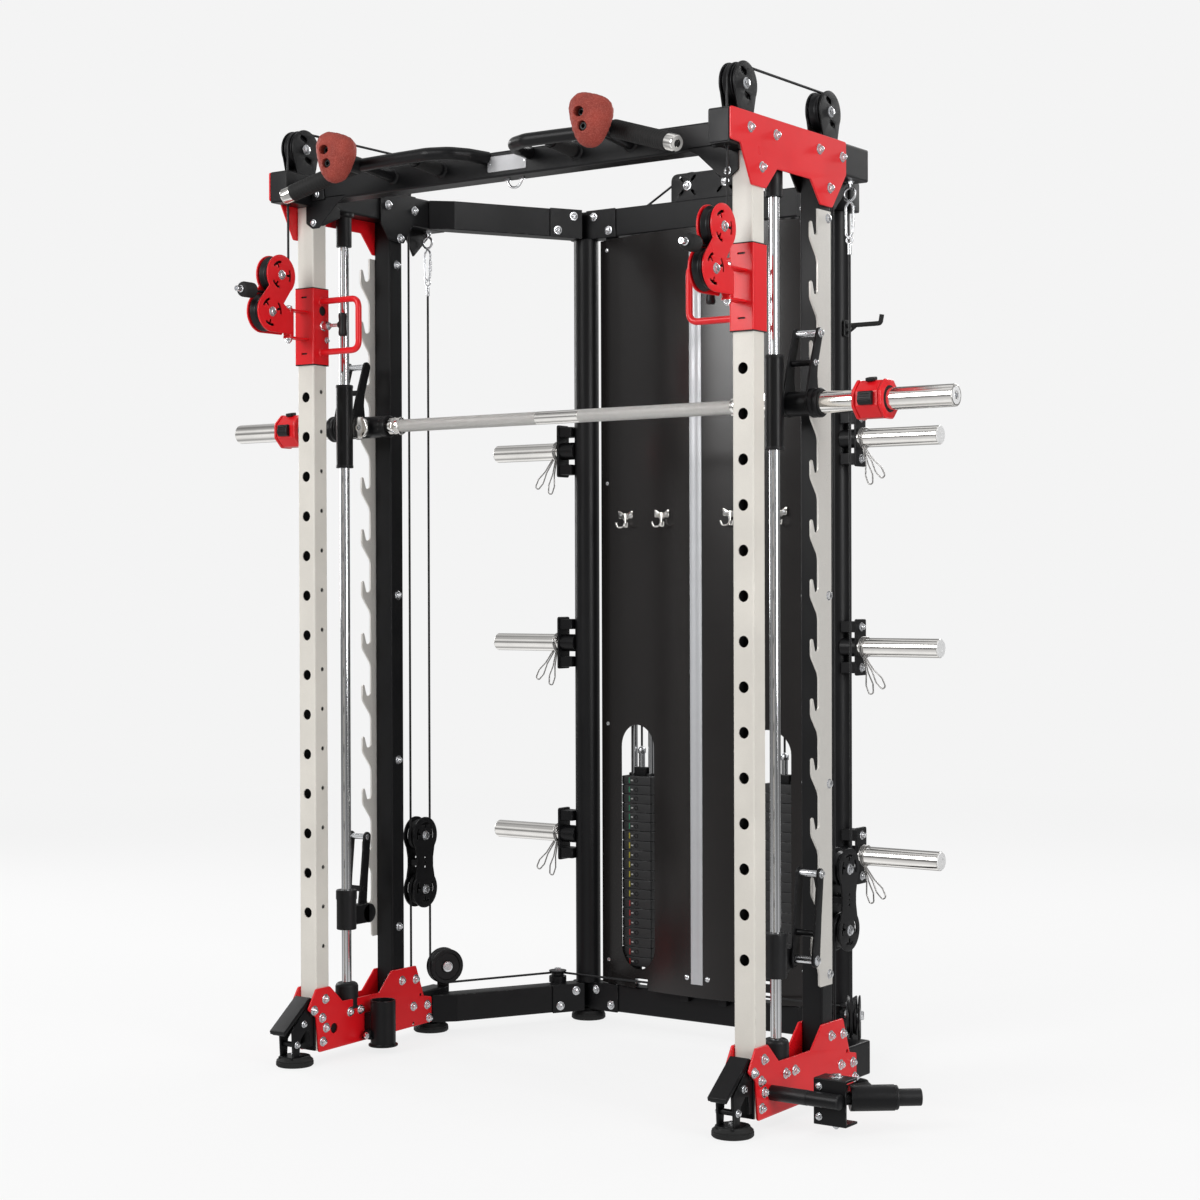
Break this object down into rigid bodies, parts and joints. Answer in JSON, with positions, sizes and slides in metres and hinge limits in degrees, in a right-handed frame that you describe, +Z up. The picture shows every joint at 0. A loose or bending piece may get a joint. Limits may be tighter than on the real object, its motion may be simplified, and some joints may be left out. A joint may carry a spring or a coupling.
{
  "type": "smith machine",
  "caption": "Smith machine in a steel rack frame: a barbell guided on chrome rods with catch rails, sliding cable pulleys, a multi-grip pull-up bar and rear weight stacks.",
  "frame": {"origin": "on the floor, under the middle of the machine box", "axes": "+X to the right of a person facing the machine, +Y towards the weight stacks at its back, +Z up"},
  "size_m": [2.128, 1.173, 2.344],
  "materials": {
    "black_paint": "fine-textured satin black powder coat",
    "cream_paint": "smooth satin off-white powder coat",
    "red_paint": "smooth semi-gloss red powder coat",
    "red_resin": "grippy sand-textured cast resin",
    "chrome": "polished hard chrome",
    "steel": "bead-blasted stainless plate",
    "cast_iron": "black enamelled cast plates",
    "cable_sheath": "black nylon sheath over steel cable",
    "black_plastic": "moulded black plastic",
    "sheave_plastic": "moulded black nylon",
    "rubber": "black rubber"
  },
  "bodies": {
    "frame": {"base_side_left": "black_paint", "front_upright_left": "cream_paint", "rear_upright_left": "black_paint", "top_side_left": "black_paint", "climbing_hold_left": "red_resin", "guide_rod_left": "chrome", "rear_column_left": "black_paint", "weight_stack_left": "cast_iron", "upper_cable_left": "cable_sheath", "lower_cable_left": "cable_sheath", "base_side_right": "black_paint", "front_upright_right": "cream_paint", "rear_upright_right": "black_paint", "top_side_right": "black_paint", "climbing_hold_right": "red_resin", "guide_rod_right": "chrome", "rear_column_right": "black_paint", "weight_stack_right": "cast_iron", "upper_cable_right": "cable_sheath", "lower_cable_right": "cable_sheath", "pullup_bar": "black_paint", "rear_top_frame": "black_paint", "rear_bottom_frame": "black_paint", "rear_shroud": "black_paint"},
    "bar_carriage": {"bar_sleeve_left": "black_paint", "bar_sleeve_right": "black_paint"},
    "barbell": {"barbell": "chrome"},
    "collar_left": {"collar_left": "red_paint"},
    "stop_left": {"stop_sleeve_left": "black_paint"},
    "stop_arm_left": {"stop_arm_left": "steel"},
    "carriage_left": {"pulley_carriage_left": "red_paint"},
    "pop_pin_left": {"pop_pin_left": "black_plastic"},
    "swivel_left": {"swivel_left": "red_paint", "ball_stop_left": "rubber"},
    "swivel_upper_wheel_left": {"swivel_wheel_upper_left": "sheave_plastic"},
    "swivel_lower_wheel_left": {"swivel_wheel_lower_left": "sheave_plastic"},
    "top_front_wheel_left": {"top_wheel_front_left": "sheave_plastic"},
    "top_back_wheel_left": {"top_wheel_back_left": "sheave_plastic"},
    "stack_left": {"stack_carriage_left": "cast_iron"},
    "float_left": {"float_block_left": "black_paint"},
    "float_lower_wheel_left": {"float_wheel_lower_left": "sheave_plastic"},
    "float_upper_wheel_left": {"float_wheel_upper_left": "sheave_plastic"},
    "low_wheel_left": {"low_wheel_left": "sheave_plastic"},
    "collar_right": {"collar_right": "red_paint"},
    "stop_right": {"stop_sleeve_right": "black_paint"},
    "stop_arm_right": {"stop_arm_right": "steel"},
    "carriage_right": {"pulley_carriage_right": "red_paint"},
    "pop_pin_right": {"pop_pin_right": "black_plastic"},
    "swivel_right": {"swivel_right": "red_paint", "ball_stop_right": "rubber"},
    "swivel_upper_wheel_right": {"swivel_wheel_upper_right": "sheave_plastic"},
    "swivel_lower_wheel_right": {"swivel_wheel_lower_right": "sheave_plastic"},
    "top_front_wheel_right": {"top_wheel_front_right": "sheave_plastic"},
    "top_back_wheel_right": {"top_wheel_back_right": "sheave_plastic"},
    "stack_right": {"stack_carriage_right": "cast_iron"},
    "float_right": {"float_block_right": "black_paint"},
    "float_lower_wheel_right": {"float_wheel_lower_right": "sheave_plastic"},
    "float_upper_wheel_right": {"float_wheel_upper_right": "sheave_plastic"},
    "low_wheel_right": {"low_wheel_right": "sheave_plastic"},
    "landmine": {"landmine_arm": "black_paint"}
  },
  "joints": [
    {"name": "bar_slide", "type": "slide", "parent": "frame", "child": "bar_carriage", "axis": [0, 0, 1], "range_m": [-0.9506, 0.2716]},
    {"name": "barbell_turn", "type": "hinge", "parent": "bar_carriage", "child": "barbell", "pos_m": [0, -0.1405, 1.61], "axis": [-1, 0, 0], "range_deg": [-17, 11.5]},
    {"name": "collar_left_slide", "type": "slide", "parent": "barbell", "child": "collar_left", "axis": [-1, 0, 0], "range_m": [-0.09, 0.155]},
    {"name": "stop_left_slide", "type": "slide", "parent": "frame", "child": "stop_left", "axis": [0, 0, 1], "range_m": [0, 0.9506]},
    {"name": "stop_arm_left_turn", "type": "hinge", "parent": "stop_left", "child": "stop_arm_left", "pos_m": [-0.645, -0.1285, 0.3525], "axis": [-1, 0, 0], "range_deg": [0, 9.2]},
    {"name": "carriage_left_slide", "type": "slide", "parent": "frame", "child": "carriage_left", "axis": [0, 0, 1], "range_m": [-1.3, 0.1]},
    {"name": "pop_pin_left_slide", "type": "slide", "parent": "carriage_left", "child": "pop_pin_left", "axis": [1, 0, 0], "range_m": [0, 0.012], "stiffness_N_per_m": 800, "springref_m": -0.01},
    {"name": "swivel_left_turn", "type": "hinge", "parent": "carriage_left", "child": "swivel_left", "pos_m": [-0.645, -0.4015, 1.856], "axis": [0, 0, 1], "range_deg": [-90, 90]},
    {"name": "swivel_upper_wheel_left_turn", "type": "hinge", "parent": "swivel_left", "child": "swivel_upper_wheel_left", "pos_m": [-0.645, -0.447, 1.972], "axis": [1, 0, 0], "continuous": true},
    {"name": "swivel_lower_wheel_left_turn", "type": "hinge", "parent": "swivel_left", "child": "swivel_lower_wheel_left", "pos_m": [-0.645, -0.4805, 1.878], "axis": [1, 0, 0], "continuous": true},
    {"name": "top_front_wheel_left_turn", "type": "hinge", "parent": "frame", "child": "top_front_wheel_left", "pos_m": [-0.645, -0.356, 2.295], "axis": [1, 0, 0], "continuous": true},
    {"name": "top_back_wheel_left_turn", "type": "hinge", "parent": "frame", "child": "top_back_wheel_left", "pos_m": [-0.645, 0.0185, 2.295], "axis": [1, 0, 0], "continuous": true},
    {"name": "stack_left_slide", "type": "slide", "parent": "frame", "child": "stack_left", "axis": [0, 0, 1], "range_m": [0, 1.1], "deforming": ["lower_cable_left"]},
    {"name": "float_left_slide", "type": "slide", "parent": "frame", "child": "float_left", "axis": [0, 0, 1], "range_m": [0, 0.55], "deforming": ["upper_cable_left"]},
    {"name": "float_lower_wheel_left_turn", "type": "hinge", "parent": "float_left", "child": "float_lower_wheel_left", "pos_m": [-0.645, 0.104, 0.388], "axis": [1, 0, 0], "continuous": true},
    {"name": "float_upper_wheel_left_turn", "type": "hinge", "parent": "float_left", "child": "float_upper_wheel_left", "pos_m": [-0.645, 0.104, 0.532], "axis": [1, 0, 0], "continuous": true},
    {"name": "low_wheel_left_turn", "type": "hinge", "parent": "frame", "child": "low_wheel_left", "pos_m": [-0.62456, 0.18465, 0.171], "axis": [0.8934, -0.4493, 0], "continuous": true},
    {"name": "collar_right_slide", "type": "slide", "parent": "barbell", "child": "collar_right", "axis": [1, 0, 0], "range_m": [-0.09, 0.155]},
    {"name": "stop_right_slide", "type": "slide", "parent": "frame", "child": "stop_right", "axis": [0, 0, 1], "range_m": [0, 0.9506]},
    {"name": "stop_arm_right_turn", "type": "hinge", "parent": "stop_right", "child": "stop_arm_right", "pos_m": [0.645, -0.1285, 0.3525], "axis": [-1, 0, 0], "range_deg": [0, 9.2]},
    {"name": "carriage_right_slide", "type": "slide", "parent": "frame", "child": "carriage_right", "axis": [0, 0, 1], "range_m": [-1.3, 0.1]},
    {"name": "pop_pin_right_slide", "type": "slide", "parent": "carriage_right", "child": "pop_pin_right", "axis": [-1, 0, 0], "range_m": [0, 0.012], "stiffness_N_per_m": 800, "springref_m": -0.01},
    {"name": "swivel_right_turn", "type": "hinge", "parent": "carriage_right", "child": "swivel_right", "pos_m": [0.645, -0.4015, 1.856], "axis": [0, 0, 1], "range_deg": [-90, 90]},
    {"name": "swivel_upper_wheel_right_turn", "type": "hinge", "parent": "swivel_right", "child": "swivel_upper_wheel_right", "pos_m": [0.645, -0.447, 1.972], "axis": [1, 0, 0], "continuous": true},
    {"name": "swivel_lower_wheel_right_turn", "type": "hinge", "parent": "swivel_right", "child": "swivel_lower_wheel_right", "pos_m": [0.645, -0.4805, 1.878], "axis": [1, 0, 0], "continuous": true},
    {"name": "top_front_wheel_right_turn", "type": "hinge", "parent": "frame", "child": "top_front_wheel_right", "pos_m": [0.645, -0.356, 2.295], "axis": [1, 0, 0], "continuous": true},
    {"name": "top_back_wheel_right_turn", "type": "hinge", "parent": "frame", "child": "top_back_wheel_right", "pos_m": [0.645, 0.0185, 2.295], "axis": [1, 0, 0], "continuous": true},
    {"name": "stack_right_slide", "type": "slide", "parent": "frame", "child": "stack_right", "axis": [0, 0, 1], "range_m": [0, 1.1], "deforming": ["lower_cable_right"]},
    {"name": "float_right_slide", "type": "slide", "parent": "frame", "child": "float_right", "axis": [0, 0, 1], "range_m": [0, 0.55], "deforming": ["upper_cable_right"]},
    {"name": "float_lower_wheel_right_turn", "type": "hinge", "parent": "float_right", "child": "float_lower_wheel_right", "pos_m": [0.645, 0.104, 0.388], "axis": [1, 0, 0], "continuous": true},
    {"name": "float_upper_wheel_right_turn", "type": "hinge", "parent": "float_right", "child": "float_upper_wheel_right", "pos_m": [0.645, 0.104, 0.532], "axis": [1, 0, 0], "continuous": true},
    {"name": "low_wheel_right_turn", "type": "hinge", "parent": "frame", "child": "low_wheel_right", "pos_m": [0.62456, 0.18465, 0.171], "axis": [0.8934, 0.4493, 0], "continuous": true},
    {"name": "landmine_turn", "type": "hinge", "parent": "frame", "child": "landmine", "pos_m": [0.815, -0.2335, 0.071], "axis": [0, 0, 1], "range_deg": [-20, 60]}
  ],
  "couplings": [
    {"joint": "float_left_slide", "follows": "stack_left_slide", "ratio": 0.5},
    {"joint": "float_right_slide", "follows": "stack_right_slide", "ratio": 0.5}
  ]
}
